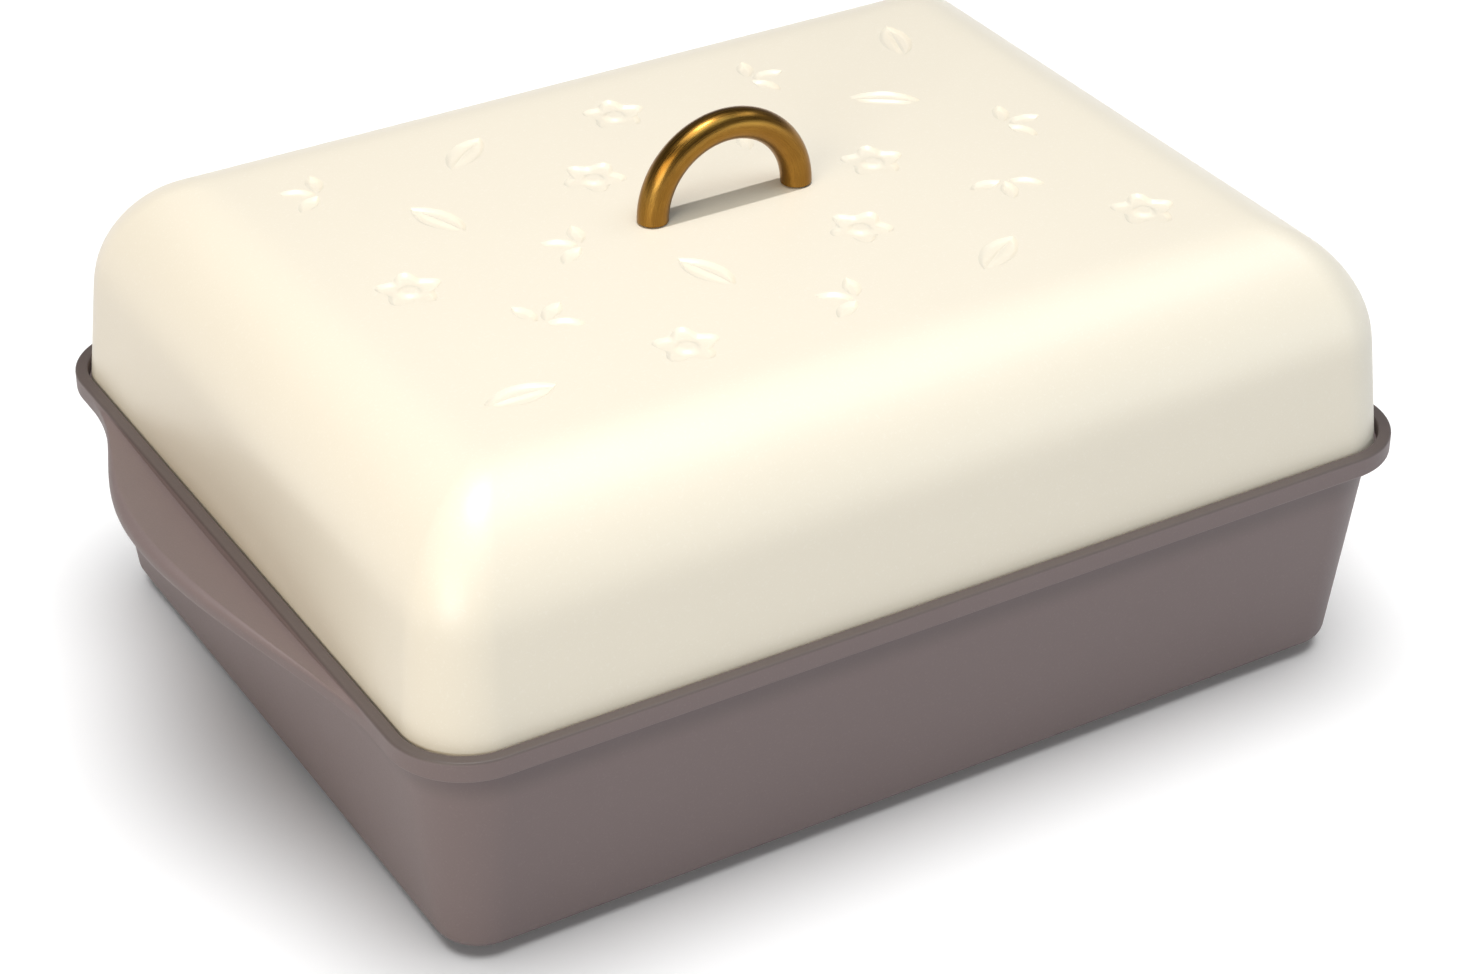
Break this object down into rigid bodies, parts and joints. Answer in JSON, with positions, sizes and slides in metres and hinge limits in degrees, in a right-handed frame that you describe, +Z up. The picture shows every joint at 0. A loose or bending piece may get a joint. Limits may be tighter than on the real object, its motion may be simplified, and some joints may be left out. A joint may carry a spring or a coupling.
{
  "type": "baking dome",
  "caption": "Deep rectangular baking pan with flared end lugs and a domed lid that sits inside its lip and lifts off by a half-ring handle.",
  "frame": {"origin": "centre of the pan's flat base, on the surface it stands on", "axes": "+X along the long side towards the right-hand lug, +Y towards the back, +Z up"},
  "size_m": [0.4136, 0.2794, 0.1885],
  "materials": {
    "pan_coating": "satin taupe ceramic coating on cast aluminium",
    "lid_coating": "satin cream ceramic coating on cast aluminium",
    "handle_metal": "brushed bronze",
    "fastener_steel": "plain stainless",
    "seal_silicone": "matte"
  },
  "bodies": {
    "pan": {"baking_pan": "pan_coating"},
    "lid": {"dome_lid": "lid_coating", "lid_handle": "handle_metal", "handle_screw_left": "fastener_steel", "handle_screw_right": "fastener_steel", "screw_washer_left": "fastener_steel", "screw_washer_right": "fastener_steel", "seal_washer_left": "seal_silicone", "seal_washer_right": "seal_silicone"}
  },
  "joints": [
    {"name": "lid_lift", "type": "slide", "parent": "pan", "child": "lid", "axis": [0, 0, 1], "range_m": [0, 0.12]}
  ]
}
